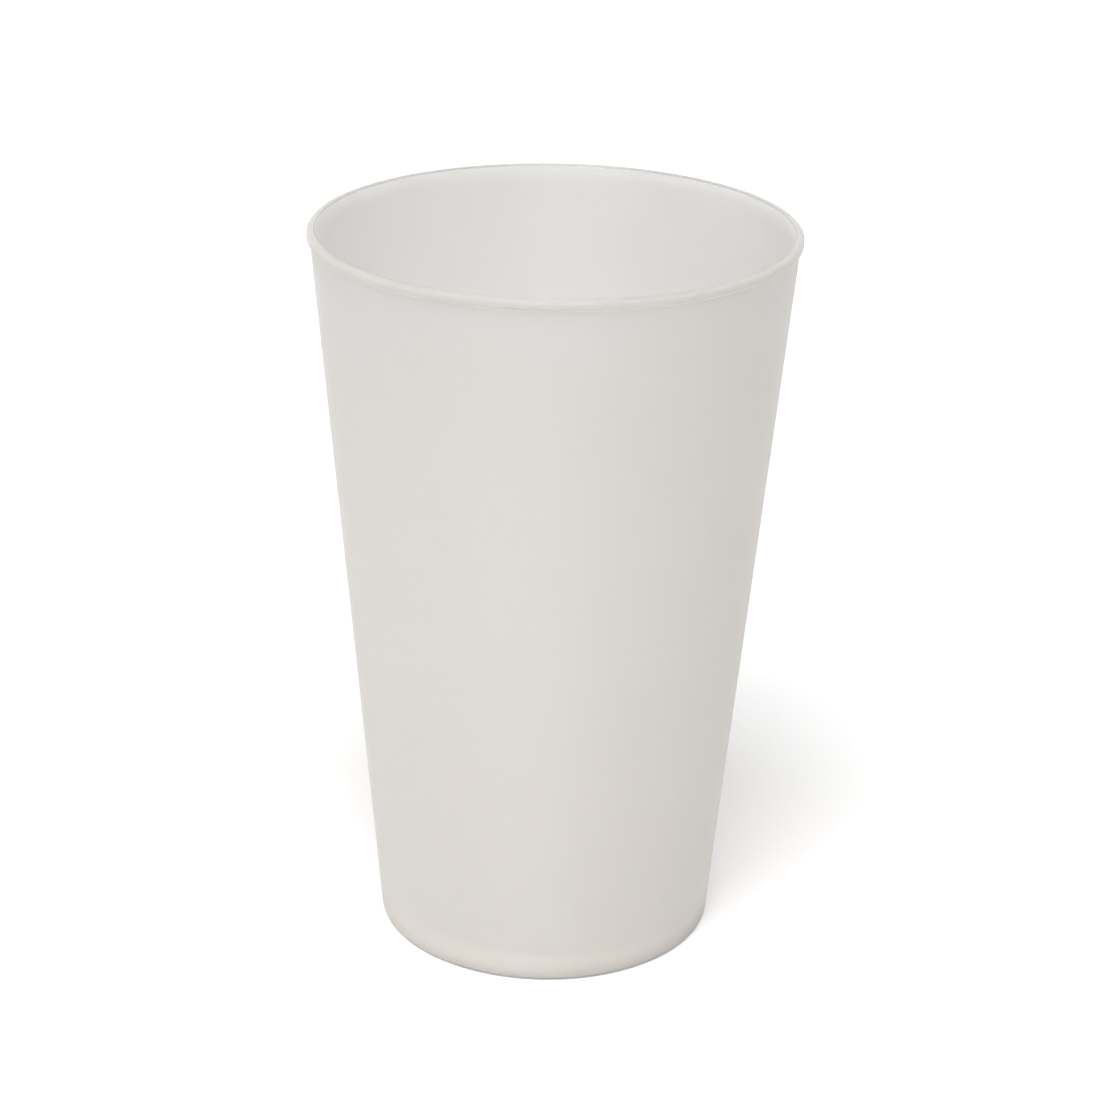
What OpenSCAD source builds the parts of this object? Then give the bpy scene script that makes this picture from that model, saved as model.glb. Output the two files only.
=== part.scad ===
// Tapered plastic drinking cup, injection moulded in one piece.
// The origin is at the centre of the foot ring, on the table, with +Z up. Sizes are in millimetres.

/* [Cup] */
// Height from the table to the crest of the lip
cup_h = 117; // [60:0.5:180]
// Diameter across the lip
rim_d = 76.2; // [64:0.1:110]
// Diameter of the outside wall where it meets the table
base_d = 54.2; // [34:0.1:70]

/* [Wall] */
// Thickness of the wall where it leaves the floor
wall_base_t = 0.9; // [0.6:0.05:2]
// Thickness of the wall just under the lip
wall_top_t = 0.7; // [0.5:0.05:1.6]

/* [Lip] */
// How far the lip stands out from the wall under it
lip_out = 0.5; // [0.3:0.05:1.2]
// Height of the lip from its root on the wall to its crest
lip_h = 1.65; // [1.5:0.05:4]
// Height of the slope under the lip
lip_slope_h = 0.45; // [0.2:0.05:0.7]
// Radius round the outer edge of the crest
lip_outer_r = 0.7; // [0.2:0.05:0.75]
// Radius round the inner edge of the crest
lip_inner_r = 0.4; // [0.1:0.05:0.48]
// Radius along the lower edge of the lip
lip_edge_r = 0.25; // [0.05:0.05:0.4]
// Radius of the fillet between the lip and the wall
lip_root_r = 0.3; // [0.1:0.05:0.8]

/* [Floor] */
// Thickness of the floor
floor_t = 1.3; // [0.8:0.05:3]
// Radius of the fillet between the floor and the wall, inside the cup
floor_fillet_r = 2.2; // [0.5:0.1:8]

/* [Foot] */
// Height of the recessed floor above the table
recess_h = 1.8; // [0.9:0.05:6]
// Width of the foot ring at the table
foot_w = 2.2; // [1.8:0.05:5]
// Draft of the foot ring's inner wall, in degrees
recess_draft = 4; // [0:0.5:15]
// Radius round the outer edge of the foot ring
foot_outer_r = 0.9; // [0.2:0.05:1.2]
// Radius round the inner edge of the foot ring
foot_inner_r = 0.4; // [0.1:0.05:0.7]
// Radius of the fillet between the foot ring and the underside
recess_fillet_r = 0.5; // [0.1:0.05:1]

/* [Gate mark] */
// Diameter of the shallow well around the gate, in the middle of the underside
gate_well_d = 8; // [4:0.5:16]
// Depth of the gate well
gate_well_h = 0.3; // [0.1:0.05:0.5]
// Diameter of the stub that the gate leaves
gate_stub_d = 1.5; // [0.8:0.1:3]
// Length of the stub that the gate leaves
gate_stub_h = 0.25; // [0.1:0.05:0.8]

/* [Hidden] */

plastic = [0.87, 0.86, 0.85];
// Steps round a full turn, and along the arc of each rounded corner
round_steps = 180;
arc_steps = 8;
// How far one solid runs into the next where they are cut or joined
overlap = 0.1;

rim_r = rim_d / 2;
base_r = base_d / 2;
lip_root_z = cup_h - lip_h;
lip_root_out = rim_r - lip_out;
lip_t = lip_out + wall_top_t;
lip_inside = rim_r - lip_t;
floor_z = recess_h + floor_t;
// The outside wall is straight from the table to the root of the lip
wall_lean = (lip_root_out - base_r) / lip_root_z;
bowl_r = base_r + wall_lean * floor_z - wall_base_t;
bowl_lean = atan((lip_inside - bowl_r) / (cup_h - floor_z));
// The crest's radii are limited by the lip's thickness: the outer one takes this share of it
// at most, and the inner one leaves at least this flat between them
crest_share = 0.6;
crest_flat = 0.02;
crest_outer_r = min(lip_outer_r, crest_share * lip_t);
crest_inner_r = min(lip_inner_r, (lip_t - crest_outer_r - crest_flat) * tan(45 - bowl_lean / 2));
foot_in = base_r - foot_w;
recess_in = foot_in - recess_h * tan(recess_draft);

// The section's corners with the radius at each, from the axis under the floor,
// out along the foot, up the outside, over the lip, down the inside and back to the axis
section_corners = [
    [[0, recess_h], 0],
    [[recess_in, recess_h], recess_fillet_r],
    [[foot_in, 0], foot_inner_r],
    [[base_r, 0], foot_outer_r],
    [[lip_root_out, lip_root_z], lip_root_r],
    [[rim_r, lip_root_z + lip_slope_h], lip_edge_r],
    [[rim_r, cup_h], crest_outer_r],
    [[lip_inside, cup_h], crest_inner_r],
    [[bowl_r, floor_z], floor_fillet_r],
    [[0, floor_z], 0]
];

function unit(v) = v / norm(v);
function corner_at(i) = section_corners[(i + len(section_corners)) % len(section_corners)][0];
// Direction from corner i to the one before it or after it
function side_before(i) = unit(corner_at(i - 1) - corner_at(i));
function side_after(i) = unit(corner_at(i + 1) - corner_at(i));
function half_angle(i) = acos(side_before(i) * side_after(i)) / 2;
// A corner stands out where the section turns left, because its solid is on the left
function stands_out(i) = cross(side_before(i), side_after(i)) < 0;

// Points along the arc that rounds corner i: it touches both sides, and its centre lies on the
// line that halves the corner, r / sin(half angle) from it
function corner_arc(i) =
    let (
        r = section_corners[i][1],
        centre = corner_at(i) + unit(side_before(i) + side_after(i)) * r / sin(half_angle(i)),
        first = corner_at(i) + side_before(i) * r / tan(half_angle(i)) - centre,
        first_angle = atan2(first.y, first.x),
        turn = (180 - 2 * half_angle(i)) * (stands_out(i) ? 1 : -1)
    )
    [for (k = [0 : arc_steps])
        centre + r * [cos(first_angle + turn * k / arc_steps), sin(first_angle + turn * k / arc_steps)]];

// Half of the cup's section, standing on the table beside the axis
module section() {
    polygon([for (i = [0 : len(section_corners) - 1]) each
        section_corners[i][1] > 0 ? corner_arc(i) : [corner_at(i)]]);
}

// Shallow round well that keeps the gate's stub above the table
module gate_well() {
    translate([0, 0, recess_h - overlap])
        cylinder(d = gate_well_d, h = gate_well_h + overlap, $fn = round_steps);
}

// Stub left where the plastic entered the mould
module gate_stub() {
    well_top = recess_h + gate_well_h;
    translate([0, 0, well_top - gate_stub_h])
        cylinder(d = gate_stub_d, h = gate_stub_h + overlap, $fn = round_steps);
}

module cup() {
    color(plastic) {
        union() {
            difference() {
                rotate_extrude($fn = round_steps) section();
                gate_well();
            }
            gate_stub();
        }
    }
}

cup();
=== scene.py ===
"""Plastic drinking cup, injection moulded in one piece from frosted polypropylene.

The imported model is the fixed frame. The cup's finished surface is worked out inside it, and a plain
studio is set around it. Lengths are in metres, with +Z up along the cup's axis.
"""

import math

import bpy
import numpy as np
from bpy.props import FloatProperty, FloatVectorProperty, IntProperty, PointerProperty
from mathutils import Matrix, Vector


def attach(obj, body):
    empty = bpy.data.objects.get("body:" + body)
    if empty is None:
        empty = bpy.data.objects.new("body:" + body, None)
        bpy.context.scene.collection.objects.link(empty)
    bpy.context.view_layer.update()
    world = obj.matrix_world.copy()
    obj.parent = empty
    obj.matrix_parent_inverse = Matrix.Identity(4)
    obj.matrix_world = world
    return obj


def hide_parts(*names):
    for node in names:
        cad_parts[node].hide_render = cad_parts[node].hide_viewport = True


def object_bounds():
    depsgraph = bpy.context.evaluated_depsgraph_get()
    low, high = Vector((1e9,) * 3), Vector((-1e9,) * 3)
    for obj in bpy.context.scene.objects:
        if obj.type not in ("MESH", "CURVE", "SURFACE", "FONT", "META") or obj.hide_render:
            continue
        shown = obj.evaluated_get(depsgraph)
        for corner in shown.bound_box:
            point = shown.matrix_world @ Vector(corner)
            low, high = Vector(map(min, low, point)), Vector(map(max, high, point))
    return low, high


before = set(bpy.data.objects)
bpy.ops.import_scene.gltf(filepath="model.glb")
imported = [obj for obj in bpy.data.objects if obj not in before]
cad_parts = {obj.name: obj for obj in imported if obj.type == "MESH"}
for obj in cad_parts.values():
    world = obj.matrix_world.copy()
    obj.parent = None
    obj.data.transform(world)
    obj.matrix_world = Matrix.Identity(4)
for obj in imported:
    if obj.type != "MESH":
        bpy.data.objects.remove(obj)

bl_info = {
    "name": "Frosted Plastic Cup",
    "version": (1, 0, 0),
    "blender": (4, 5, 0),
    "location": "3D View > Sidebar > Cup",
    "description": "Models a one-piece frosted plastic cup with its finish, and a plain studio around it",
    "category": "Add Mesh",
}

MM = 0.001
# How much of the painted shade's colour the lip's face, its inner round and the foot take
FACE_SHADE_SHARE = 0.6
ROUND_SHADE_SHARE = 0.88
FOOT_SHADE_SHARE = 0.17
# The painted shade at the foot begins at this height above the table, and is whole this much lower
FOOT_SHADE_TOP = 7 * MM
FOOT_SHADE_REACH = 5 * MM
# Size and depth of the satin grain, and size of the clouds
GRAIN_SIZE = 0.35 * MM
GRAIN_DEPTH = 0.05 * MM
CLOUD_SIZE = 18 * MM
# Clouds are drawn out this many times up the wall
CLOUD_STRETCH = 4
# Range of the noise that the clouds' tones are spread over
CLOUD_LOW, CLOUD_HIGH = 0.3, 0.7
# Light goes about 0.65 mm between two scatterings at this setting, about the wall's thickness
SCATTER = 8.2 * MM
POLYPROPYLENE_IOR = 1.49
# The floor's glow grows from the first strength to the second between these distances from the cup
GLOW_FROM, GLOW_TO = 0.1, 1.2
GLOW_NEAR, GLOW_FAR = 0.2, 0.7
FLOOR_REACH = 4.0
FLOOR_GAP = 0.05 * MM
# Each lamp's place, and its width and height
OVERHEAD_PLACE, OVERHEAD_SIZE = (-0.1, -0.6, 1.75), (1.1, 0.8)
KEY_PLACE, KEY_SIZE = (-0.2, -1, 1.5), (1.1, 0.8)
SIDE_PLACE, SIDE_SIZE = (-0.9, 0.25, 0.42), (0.6, 0.6)
STRIP_PLACE, STRIP_SIZE = (-0.62, -0.86, 0.17), (0.045, 0.26)
CAD_LOW, CAD_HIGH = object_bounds()
# The turned piece stays inside the frame's box on all sides
RIM_RADIUS = min(-CAD_LOW.x, CAD_HIGH.x, -CAD_LOW.y, CAD_HIGH.y)
CUP_HEIGHT = CAD_HIGH.z


def linear(hex_colour):
    """Turns an sRGB hex colour such as "#E6E2DE" into linear red, green, blue."""
    parts = np.array([int(hex_colour[i:i + 2], 16) for i in (1, 3, 5)]) / 255
    return tuple(np.where(parts <= 0.04045, parts / 12.92, ((parts + 0.055) / 1.055) ** 2.4))


class CupSizes(bpy.types.PropertyGroup):
    """Sizes of the cup's section that the frame's box doesn't give."""

    base_radius: FloatProperty(
        name="Base radius", description="Radius of the outside wall carried down to the table",
        default=27.1 * MM, unit="LENGTH")
    wall_base: FloatProperty(
        name="Wall at the floor", description="Thickness of the wall where it leaves the floor",
        default=0.9 * MM, unit="LENGTH")
    wall_top: FloatProperty(
        name="Wall at the lip", description="Thickness of the wall just under the lip",
        default=0.7 * MM, unit="LENGTH")
    lip_out: FloatProperty(
        name="Lip overhang", description="How far the lip stands out from the wall under it",
        default=0.5 * MM, unit="LENGTH")
    lip_height: FloatProperty(
        name="Lip height", description="From the lip's root on the wall to its crest",
        default=1.65 * MM, unit="LENGTH")
    lip_slope: FloatProperty(
        name="Lip slope", description="Height of the slope under the lip",
        default=0.45 * MM, unit="LENGTH")
    lip_outer_round: FloatProperty(
        name="Outer crest radius", description="Radius round the outer edge of the crest",
        default=0.7 * MM, unit="LENGTH")
    lip_inner_round: FloatProperty(
        name="Inner crest radius", description="Radius round the inner edge of the crest",
        default=0.4 * MM, unit="LENGTH")
    lip_edge_round: FloatProperty(
        name="Lower lip radius", description="Radius along the lower edge of the lip",
        default=0.25 * MM, unit="LENGTH")
    lip_root_round: FloatProperty(
        name="Lip root fillet", description="Radius between the lip and the wall",
        default=0.3 * MM, unit="LENGTH")
    floor_thickness: FloatProperty(
        name="Floor", description="Thickness of the floor", default=1.3 * MM, unit="LENGTH")
    floor_fillet: FloatProperty(
        name="Floor fillet", description="Radius between the floor and the wall inside the cup",
        default=2.2 * MM, unit="LENGTH")
    recess: FloatProperty(
        name="Recess", description="Height of the floor's underside above the table",
        default=1.8 * MM, unit="LENGTH")
    foot_width: FloatProperty(
        name="Foot width", description="Width of the foot ring at the table",
        default=2.2 * MM, unit="LENGTH")
    recess_draft: FloatProperty(
        name="Recess draft", description="Lean of the foot ring's inner wall",
        default=math.radians(4), unit="ROTATION")
    foot_outer_round: FloatProperty(
        name="Outer foot radius", description="Radius round the outer edge of the foot ring",
        default=0.9 * MM, unit="LENGTH")
    foot_inner_round: FloatProperty(
        name="Inner foot radius", description="Radius round the inner edge of the foot ring",
        default=0.4 * MM, unit="LENGTH")
    recess_fillet: FloatProperty(
        name="Recess fillet", description="Radius between the foot ring and the underside",
        default=0.5 * MM, unit="LENGTH")
    well_radius: FloatProperty(
        name="Gate well radius", description="Radius of the well round the gate mark",
        default=4 * MM, unit="LENGTH")
    well_depth: FloatProperty(
        name="Gate well depth", description="Depth of the well round the gate mark",
        default=0.3 * MM, unit="LENGTH")
    stub_radius: FloatProperty(
        name="Gate stub radius", description="Radius of the stub that the gate leaves",
        default=0.75 * MM, unit="LENGTH")
    stub_length: FloatProperty(
        name="Gate stub length", description="Length of the stub that the gate leaves",
        default=0.25 * MM, unit="LENGTH")
    small_round: FloatProperty(
        name="Gate mark radius", description="Radius along the edges of the gate mark",
        default=0.08 * MM, unit="LENGTH")
    arc_steps: IntProperty(
        name="Arc steps", description="Faces along the arc of each rounded corner", default=8, min=2)
    turn_steps: IntProperty(
        name="Turn steps", description="Faces round the cup", default=288, min=24)
    face_length: FloatProperty(
        name="Face length", description="Longest face along the straight stretches of the section",
        default=1.6 * MM, unit="LENGTH")


class CupFinish(bpy.types.PropertyGroup):
    """Colours of the cup's plastic, of its inside, which is painted lighter, and of the painted shade."""

    plastic: FloatVectorProperty(
        name="Plastic", description="Colour of the frosted polypropylene",
        subtype="COLOR", size=3, min=0, max=1, default=linear("#F4EAE2"))
    cloud: FloatVectorProperty(
        name="Clouds", description="Colour of the faint clouds in the plastic",
        subtype="COLOR", size=3, min=0, max=1, default=linear("#F1E5DB"))
    # Painted light: the inside's colour is lighter than the outside plastic, and it is the smoother skin's
    # colour, without clouds
    skin_painted_lighter: FloatVectorProperty(
        name="Inside", description="Colour of the smoother skin inside the cup",
        subtype="COLOR", size=3, min=0, max=1, default=linear("#F7F2EC"))
    # Painted shade: this darker colour is mixed into the plastic at the lip's face, along the crest's inner
    # round and near the foot
    lip: FloatVectorProperty(
        name="Lip", description="Colour of the plastic where it is thick, in the lip",
        subtype="COLOR", size=3, min=0, max=1, default=linear("#989896"))


class StudioSettings(bpy.types.PropertyGroup):
    """The camera's place, the floor and the lights."""

    camera_distance: FloatProperty(
        name="Camera distance", description="From the camera to the cup's axis",
        default=461.3 * MM, unit="LENGTH")
    camera_aim: FloatProperty(
        name="Aim height", description="Height on the cup's axis that the camera looks at",
        default=63.37 * MM, unit="LENGTH")
    camera_pitch: FloatProperty(
        name="Camera pitch", description="How far the camera looks down",
        default=0.3925, unit="ROTATION")
    camera_roll: FloatProperty(
        name="Camera roll", description="How far the camera leans over",
        default=0.01723, unit="ROTATION")
    camera_lens: FloatProperty(
        name="Focal length", description="Focal length on a 36 mm wide sensor, in millimetres",
        default=94.18)
    floor_colour: FloatVectorProperty(
        name="Floor", description="Colour of the floor", subtype="COLOR", size=3, min=0, max=1,
        default=linear("#F9F9F9"))
    room_light: FloatProperty(
        name="Room light", description="Strength of the even light from all round", default=0.185)
    backdrop_light: FloatProperty(
        name="Backdrop light", description="Strength that the light gains towards the back",
        default=0.38)
    overhead_power: FloatProperty(
        name="Overhead light", description="Power of the soft light high above the cup",
        default=20.2, unit="POWER")
    key_power: FloatProperty(
        name="Key light", description="Power of the soft light above the camera",
        default=10.6, unit="POWER")
    side_power: FloatProperty(
        name="Side light", description="Power of the soft light on the left, a little behind the cup",
        default=0.5, unit="POWER")
    strip_power: FloatProperty(
        name="Strip light", description="Power of the tall, narrow light on the left of the camera",
        default=0.7, unit="POWER")


def round_corners(corners, radii, steps):
    """Outline whose corners are rounded by arcs, as an array of (radius, height) points.

    Each arc touches both sides of its corner, and its centre lies on the line that halves the corner,
    at radius / sin(half angle) from it. It turns by 180 degrees less the corner's angle. A corner of
    radius 0 stays sharp, and the outline's two ends keep their place.
    """
    corners, radii = np.asarray(corners, float), np.asarray(radii, float)
    before = np.roll(corners, 1, axis=0) - corners
    after = np.roll(corners, -1, axis=0) - corners
    before /= np.linalg.norm(before, axis=1, keepdims=True)
    after /= np.linalg.norm(after, axis=1, keepdims=True)
    half = np.arccos(np.clip((before * after).sum(1), -1, 1)) / 2
    middle = before + after
    middle /= np.linalg.norm(middle, axis=1, keepdims=True)
    centres = corners + middle * (radii / np.sin(half))[:, None]
    touch = corners + before * (radii / np.tan(half))[:, None] - centres
    first = np.arctan2(touch[:, 1], touch[:, 0])
    side = np.sign(before[:, 1] * after[:, 0] - before[:, 0] * after[:, 1])
    angles = first[:, None] + (side * (math.pi - 2 * half))[:, None] * np.linspace(0, 1, steps + 1)
    arcs = centres[:, None] + radii[:, None, None] * np.stack([np.cos(angles), np.sin(angles)], -1)
    keep = np.ones((len(corners), steps + 1), bool)
    keep[radii == 0, 1:] = False
    return arcs[keep]


def divide(outline, longest):
    """Outline with each straight side cut into equal parts no longer than the given length."""
    sides = np.diff(outline, axis=0)
    parts = np.ceil(np.linalg.norm(sides, axis=1) / longest).astype(int)
    start = np.repeat(np.cumsum(parts) - parts, parts)
    along = (np.arange(parts.sum()) - start) / np.repeat(parts, parts)
    points = np.repeat(outline[:-1], parts, axis=0) + along[:, None] * np.repeat(sides, parts, axis=0)
    return np.vstack([points, outline[-1:]])


def cup_outline(sizes):
    """Half of the cup's section: from the gate mark on the axis, out along the underside and the foot,
    up the outside, over the lip, down the inside and back to the axis on the floor."""
    root_height = CUP_HEIGHT - sizes.lip_height
    wall_radius = RIM_RADIUS - sizes.lip_out
    inside_radius = wall_radius - sizes.wall_top
    floor = sizes.recess + sizes.floor_thickness
    lean = (wall_radius - sizes.base_radius) / root_height
    bowl_radius = sizes.base_radius + lean * floor - sizes.wall_base
    foot_inside = sizes.base_radius - sizes.foot_width
    recess_radius = foot_inside - sizes.recess * math.tan(sizes.recess_draft)
    well_top = sizes.recess + sizes.well_depth
    stub_end = well_top - sizes.stub_length
    section = [
        ((0, stub_end), 0),
        ((sizes.stub_radius, stub_end), sizes.small_round),
        ((sizes.stub_radius, well_top), sizes.small_round),
        ((sizes.well_radius, well_top), sizes.small_round),
        ((sizes.well_radius, sizes.recess), sizes.small_round),
        ((recess_radius, sizes.recess), sizes.recess_fillet),
        ((foot_inside, 0), sizes.foot_inner_round),
        ((sizes.base_radius, 0), sizes.foot_outer_round),
        ((wall_radius, root_height), sizes.lip_root_round),
        ((RIM_RADIUS, root_height + sizes.lip_slope), sizes.lip_edge_round),
        ((RIM_RADIUS, CUP_HEIGHT), sizes.lip_outer_round),
        ((inside_radius, CUP_HEIGHT), sizes.lip_inner_round),
        ((bowl_radius, floor), sizes.floor_fillet),
        ((0, floor), 0),
    ]
    corners, radii = zip(*section)
    outline = divide(round_corners(corners, radii, sizes.arc_steps), sizes.face_length)
    return np.clip(outline, (0, CAD_LOW.z), (RIM_RADIUS, CUP_HEIGHT))


def turned_mesh(name, outline, turns):
    """Mesh of an outline turned round the Z axis, its two ends closed to single points on the axis.

    The point (r, h) of the outline at angle a lies at (r cos a, r sin a, h).
    """
    angle = np.arange(turns) * (2 * math.pi / turns)
    ring = np.stack([np.cos(angle), np.sin(angle)], -1)
    body = outline[1:-1]
    grid = np.empty((len(body), turns, 3))
    grid[..., :2] = body[:, None, :1] * ring
    grid[..., 2] = body[:, 1:]
    ends = np.array([[0, 0, outline[0, 1]], [0, 0, outline[-1, 1]]])
    vertices = np.vstack([grid.reshape(-1, 3), ends])
    number = np.arange(len(body) * turns).reshape(len(body), turns)
    turned = np.roll(number, -1, axis=1)
    quads = np.stack([number[:-1], turned[:-1], turned[1:], number[1:]], -1).reshape(-1, 4)
    first, last = len(vertices) - 2, len(vertices) - 1
    first_fan = np.stack([np.full(turns, first), turned[0], number[0]], -1)
    last_fan = np.stack([np.full(turns, last), number[-1], turned[-1]], -1)
    mesh = bpy.data.meshes.new(name)
    mesh.from_pydata(vertices.tolist(), [], quads.tolist() + first_fan.tolist() + last_fan.tolist())
    mesh.shade_smooth()
    return mesh


def add_piece(name, mesh):
    """Links a new object that holds the mesh, at the origin."""
    piece = bpy.data.objects.new(name, mesh)
    bpy.context.scene.collection.objects.link(piece)
    return piece


def new_material(name):
    """Empty node material and its node tree."""
    material = bpy.data.materials.new(name)
    material.use_nodes = True
    material.node_tree.nodes.clear()
    return material, material.node_tree


def add_node(tree, kind, links=None, **settings):
    """Adds a node. Settings name its properties, or its inputs in words joined by underscores, and
    links maps an input's name or number to the output that feeds it."""
    node = tree.nodes.new(kind)
    for key, value in settings.items():
        socket = node.inputs.get(key.replace("_", " "))
        if socket is not None:
            socket.default_value = value
        else:
            setattr(node, key, value)
    for key, output in (links or {}).items():
        tree.links.new(output, node.inputs[key])
    return node


def mix_values(tree, share, first, second):
    """Output that goes from the first value to the second as the share goes from 0 to 1."""
    return add_node(tree, "ShaderNodeMix", {0: share, 2: first, 3: second}).outputs[0]


def mix_colours(tree, share, first, second):
    """Output that goes from the first colour to the second, where each is an output or a colour."""
    mix = add_node(tree, "ShaderNodeMix", {0: share}, data_type="RGBA")
    for socket, colour in ((mix.inputs[6], first), (mix.inputs[7], second)):
        if isinstance(colour, bpy.types.NodeSocket):
            tree.links.new(colour, socket)
        else:
            socket.default_value = (*colour, 1)
    return mix.outputs[2]


def seen_directly(tree):
    """Output that is 1 for the camera and for reflected and refracted views, and 0 for other light."""
    rays = add_node(tree, "ShaderNodeLightPath").outputs
    either = add_node(
        tree, "ShaderNodeMath", {0: rays["Is Camera Ray"], 1: rays["Is Glossy Ray"]}, operation="MAXIMUM")
    any_view = add_node(
        tree, "ShaderNodeMath", {0: either.outputs[0], 1: rays["Is Transmission Ray"]}, operation="MAXIMUM")
    return any_view.outputs[0]


def frosted_polypropylene(finish):
    """Frosted polypropylene, injection moulded in one shot.

    The plastic is milky: light goes in, scatters and comes out on either side of the thin wall, so the
    inside glows softly. The lip is thicker than the wall and lets less light through. A painted shade, a
    darker colour mixed into the base colour, stands in for this on the lip's face. The same colour also
    paints a dark line on the crest's inner round and a shade near the foot. Outside, the etched mould leaves
    a fine satin grain with a wide, weak gloss. Inside, the mould's polished core leaves a smoother skin,
    which takes a narrower highlight. The inside's colour is painted lighter than the outside's, and it has
    no clouds.
    """
    material, tree = new_material("frosted_polypropylene")
    place = add_node(tree, "ShaderNodeTexCoord").outputs["Object"]
    inside = add_node(tree, "ShaderNodeAttribute", attribute_name="inside").outputs["Fac"]
    painted_shade = add_node(tree, "ShaderNodeAttribute", attribute_name="painted_shade").outputs["Fac"]
    grain = add_node(tree, "ShaderNodeTexNoise", {"Vector": place}, Scale=1 / GRAIN_SIZE, Detail=2)
    depth = add_node(tree, "ShaderNodeMapRange", {"Value": inside}, To_Min=0.12, To_Max=0.03)
    bump = add_node(
        tree, "ShaderNodeBump", {"Height": grain.outputs["Fac"], "Strength": depth.outputs["Result"]},
        Distance=GRAIN_DEPTH)
    # Melt that cools unevenly leaves soft clouds, drawn out along the way it flowed up the wall
    flow = add_node(tree, "ShaderNodeMapping", {"Vector": place}, Scale=(1, 1, 1 / CLOUD_STRETCH))
    cloud = add_node(
        tree, "ShaderNodeTexNoise", {"Vector": flow.outputs["Vector"]}, Scale=1 / CLOUD_SIZE, Detail=3)
    satin = add_node(
        tree, "ShaderNodeMapRange", {"Value": cloud.outputs["Fac"]},
        From_Min=CLOUD_LOW, From_Max=CLOUD_HIGH, To_Min=0.60, To_Max=0.68)
    polish = add_node(
        tree, "ShaderNodeMapRange", {"Value": cloud.outputs["Fac"]},
        From_Min=CLOUD_LOW, From_Max=CLOUD_HIGH, To_Min=0.32, To_Max=0.36)
    roughness = mix_values(tree, inside, satin.outputs["Result"], polish.outputs["Result"])
    clouded = mix_colours(tree, cloud.outputs["Fac"], finish.cloud, finish.plastic)
    # Painted light: the inside takes its own lighter colour in place of the clouded plastic
    skin = mix_colours(tree, inside, clouded, finish.skin_painted_lighter)
    # Painted shade: the lip colour darkens the lip's face, the crest's inner round and the plastic near the
    # foot
    body = mix_colours(tree, painted_shade, skin, finish.lip)
    # The mould was turned on a lathe. Its fine rings spread the gloss up and down more than sideways
    around = add_node(tree, "ShaderNodeTangent", direction_type="RADIAL", axis="Z").outputs["Tangent"]
    shader = add_node(
        tree, "ShaderNodeBsdfPrincipled",
        {"Base Color": body, "Normal": bump.outputs["Normal"], "Roughness": roughness, "Tangent": around},
        IOR=POLYPROPYLENE_IOR, Anisotropic=1, Anisotropic_Rotation=0.25,
        Subsurface_Weight=1, Subsurface_Radius=(1, 0.96, 0.92), Subsurface_Scale=SCATTER)
    add_node(tree, "ShaderNodeOutputMaterial", {"Surface": shader.outputs["BSDF"]})
    return material


def floor_paint(colour):
    """Matt white floor, lit to about white round the cup. Further off, where the lights fall away, the
    camera and the gloss see a glow that makes up for it. The floor keeps the cup's shadow."""
    material, tree = new_material("matt_white_floor")
    paint = add_node(tree, "ShaderNodeBsdfDiffuse", Color=(*colour, 1))
    place = add_node(tree, "ShaderNodeTexCoord").outputs["Object"]
    distance = add_node(tree, "ShaderNodeVectorMath", {0: place}, operation="LENGTH")
    strength = add_node(
        tree, "ShaderNodeMapRange", {"Value": distance.outputs["Value"]},
        From_Min=GLOW_FROM, From_Max=GLOW_TO, To_Min=GLOW_NEAR, To_Max=GLOW_FAR)
    glow = add_node(
        tree, "ShaderNodeEmission", {"Strength": strength.outputs["Result"]}, Color=(1, 1, 1, 1))
    both = add_node(tree, "ShaderNodeAddShader", {0: paint.outputs[0], 1: glow.outputs[0]})
    mixed = add_node(
        tree, "ShaderNodeMixShader", {0: seen_directly(tree), 1: paint.outputs[0], 2: both.outputs[0]})
    add_node(tree, "ShaderNodeOutputMaterial", {"Surface": mixed.outputs[0]})
    return material


def add_area_light(name, place, target, size, power):
    """Soft rectangular light, of a width and a height, that faces a target point."""
    lamp = bpy.data.lights.new(name, "AREA")
    lamp.shape = "RECTANGLE"
    lamp.size, lamp.size_y = size
    lamp.energy = power
    lamp_object = bpy.data.objects.new(name, lamp)
    bpy.context.scene.collection.objects.link(lamp_object)
    lamp_object.visible_camera = False
    away = np.subtract(place, target)
    back = away / np.linalg.norm(away)
    side = np.cross((0, 0, 1), back)
    side /= np.linalg.norm(side)
    lamp_object.matrix_world = Matrix.Translation(place) @ Matrix(
        np.column_stack([side, np.cross(back, side), back]).tolist()).to_4x4()


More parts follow.
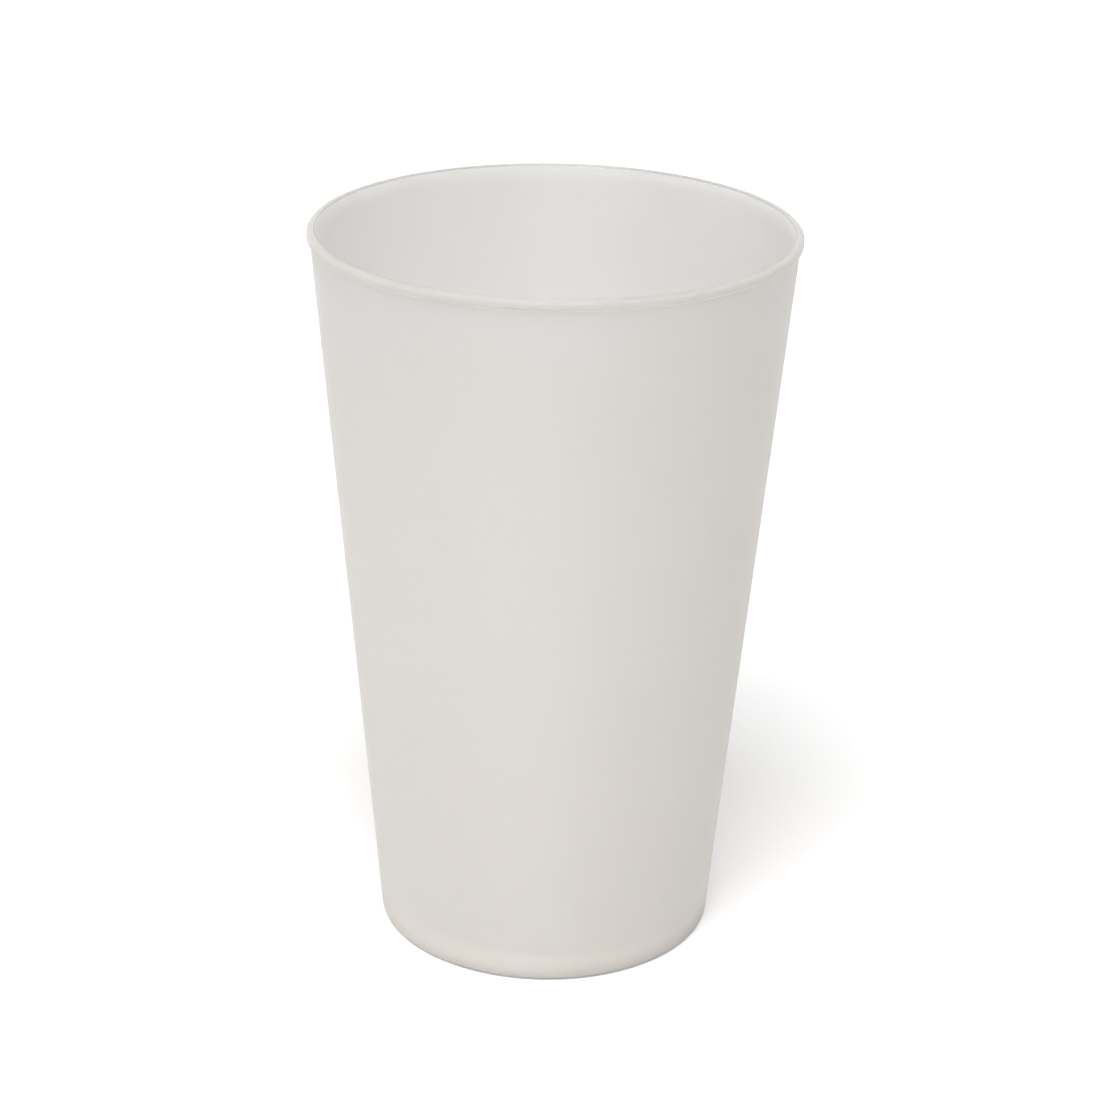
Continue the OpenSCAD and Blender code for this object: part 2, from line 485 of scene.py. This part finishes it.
class CUP_OT_body(bpy.types.Operator):
    """Models the cup and gives it its frosted finish"""

    bl_idname = "cup.body"
    bl_label = "Model the cup"

    def execute(self, context):
        sizes = context.scene.cup_sizes
        outline = cup_outline(sizes)
        mesh = turned_mesh("cup_body", outline, sizes.turn_steps)
        self.add_shares(mesh, outline, sizes)
        mesh.materials.append(frosted_polypropylene(context.scene.cup_finish))
        cup = add_piece("cup_body", mesh)
        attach(cup, "root")
        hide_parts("cup")
        return {"FINISHED"}

    def add_shares(self, mesh, outline, sizes):
        """Stores at each point how much it belongs to the inside, and how much painted shade its colour
        takes.

        Both run from 0 to 1. The first changes across the crest. The painted shade rises over the slope
        under the lip to the face's share, and keeps it up to the crest. On the inner round it rises to the
        round's share a fifth of the way down, keeps it to halfway, and falls to 0 at the round's foot. This
        paints a dark line along the crest. Near the table it rises evenly to the foot's share, a painted
        shade at the foot.
        """
        radius, height = outline[:, 0], outline[:, 1]
        crest = int(np.argmax(height))
        outside = np.arange(len(outline)) < crest
        reach = np.clip((RIM_RADIUS - sizes.lip_outer_round - radius) / sizes.lip_inner_round, 0, 1)
        inside = np.where(outside, 0, np.where(height < CUP_HEIGHT, 1, reach))
        above_root = np.clip(height - CUP_HEIGHT + sizes.lip_height, 0, None)
        # Painted shade: over the lip's face, near the foot, and as a dark line on the crest's inner round
        lip = np.clip(above_root / sizes.lip_slope, 0, 1) * FACE_SHADE_SHARE
        foot = np.clip((FOOT_SHADE_TOP - height) / FOOT_SHADE_REACH, 0, 1) * FOOT_SHADE_SHARE
        fall = (CUP_HEIGHT - height) / sizes.lip_inner_round
        round_shade = np.interp(
            fall, (0, 0.05, 0.2, 0.5, 1), (FACE_SHADE_SHARE, FACE_SHADE_SHARE, ROUND_SHADE_SHARE, ROUND_SHADE_SHARE, 0))
        painted_shade = np.where(outside, np.maximum(lip, foot), round_shade)
        for name, share in (("inside", inside), ("painted_shade", painted_shade)):
            values = np.concatenate([np.repeat(share[1:-1], sizes.turn_steps), share[[0, -1]]])
            mesh.attributes.new(name, "FLOAT", "POINT").data.foreach_set("value", values)


class CUP_OT_studio(bpy.types.Operator):
    """Sets the floor, the lights, the room light and the camera"""

    bl_idname = "cup.studio"
    bl_label = "Set the studio"

    def execute(self, context):
        studio = context.scene.cup_studio
        self.add_floor(studio)
        self.add_room_light(context, studio)
        middle = (0, 0, CUP_HEIGHT / 2)
        add_area_light("overhead_light", OVERHEAD_PLACE, middle, OVERHEAD_SIZE, studio.overhead_power)
        add_area_light("key_light", KEY_PLACE, middle, KEY_SIZE, studio.key_power)
        add_area_light("side_light", SIDE_PLACE, middle, SIDE_SIZE, studio.side_power)
        add_area_light("strip_light", STRIP_PLACE, middle, STRIP_SIZE, studio.strip_power)
        self.add_camera(context, studio)
        context.scene.view_settings.view_transform = "Standard"
        return {"FINISHED"}

    def add_floor(self, studio):
        """Square floor that reaches far past the camera's view, just under the foot."""
        x, y = np.meshgrid([-FLOOR_REACH, FLOOR_REACH], [-FLOOR_REACH, FLOOR_REACH])
        corners = np.stack([x, y, np.full_like(x, CAD_LOW.z - FLOOR_GAP)], -1).reshape(-1, 3)
        mesh = bpy.data.meshes.new("floor")
        mesh.from_pydata(corners.tolist(), [], [(0, 1, 3, 2)])
        mesh.materials.append(floor_paint(studio.floor_colour))
        add_piece("floor", mesh)

    def add_room_light(self, context, studio):
        """Even light from all round, which the camera sees as white."""
        world = bpy.data.worlds.new("room")
        context.scene.world = world
        world.use_nodes = True
        tree = world.node_tree
        tree.nodes.clear()
        facing = add_node(tree, "ShaderNodeTexCoord").outputs["Generated"]
        backward = add_node(tree, "ShaderNodeSeparateXYZ", {"Vector": facing}).outputs["Y"]
        strength = add_node(
            tree, "ShaderNodeMapRange", {"Value": backward},
            To_Min=studio.room_light, To_Max=studio.room_light + studio.backdrop_light)
        light = add_node(
            tree, "ShaderNodeBackground", {"Strength": strength.outputs["Result"]}, Color=(1, 1, 1, 1))
        seen = add_node(tree, "ShaderNodeBackground", Color=(1, 1, 1, 1), Strength=1)
        mixed = add_node(
            tree, "ShaderNodeMixShader", {0: seen_directly(tree), 1: light.outputs[0], 2: seen.outputs[0]})
        add_node(tree, "ShaderNodeOutputWorld", {"Surface": mixed.outputs[0]})

    def add_camera(self, context, studio):
        """Camera in front of the cup, looking down at its axis and leaning over a little."""
        pitch, roll = studio.camera_pitch, studio.camera_roll
        back = np.array([0, -math.cos(pitch), math.sin(pitch)])
        right = np.array([1, 0, 0])
        up = np.cross(back, right)
        leant_right = math.cos(roll) * right + math.sin(roll) * up
        leant_up = math.cos(roll) * up - math.sin(roll) * right
        place = studio.camera_distance * back + (0, 0, studio.camera_aim)
        data = bpy.data.cameras.new("camera")
        data.sensor_width = 36
        data.lens = studio.camera_lens
        data.clip_start = 0.01
        camera = bpy.data.objects.new("camera", data)
        context.scene.collection.objects.link(camera)
        camera.matrix_world = Matrix.Translation(place) @ Matrix(
            np.column_stack([leant_right, leant_up, back]).tolist()).to_4x4()
        context.scene.camera = camera


class CUP_PT_sidebar(bpy.types.Panel):
    """Buttons that make the cup and its studio, with their settings"""

    bl_idname = "CUP_PT_sidebar"
    bl_label = "Frosted plastic cup"
    bl_space_type = "VIEW_3D"
    bl_region_type = "UI"
    bl_category = "Cup"

    def draw(self, context):
        scene = context.scene
        for operator, settings in (
                (CUP_OT_body, scene.cup_sizes), (None, scene.cup_finish), (CUP_OT_studio, scene.cup_studio)):
            if operator:
                self.layout.operator(operator.bl_idname)
            for key in settings.bl_rna.properties.keys()[2:]:
                self.layout.prop(settings, key)


CLASSES = (CupSizes, CupFinish, StudioSettings, CUP_OT_body, CUP_OT_studio, CUP_PT_sidebar)


def register():
    for each in CLASSES:
        bpy.utils.register_class(each)
    bpy.types.Scene.cup_sizes = PointerProperty(type=CupSizes)
    bpy.types.Scene.cup_finish = PointerProperty(type=CupFinish)
    bpy.types.Scene.cup_studio = PointerProperty(type=StudioSettings)


def unregister():
    del bpy.types.Scene.cup_studio, bpy.types.Scene.cup_finish, bpy.types.Scene.cup_sizes
    for each in reversed(CLASSES):
        bpy.utils.unregister_class(each)


def main():
    register()
    bpy.ops.cup.body()
    bpy.ops.cup.studio()


if __name__ == "__main__":
    main()
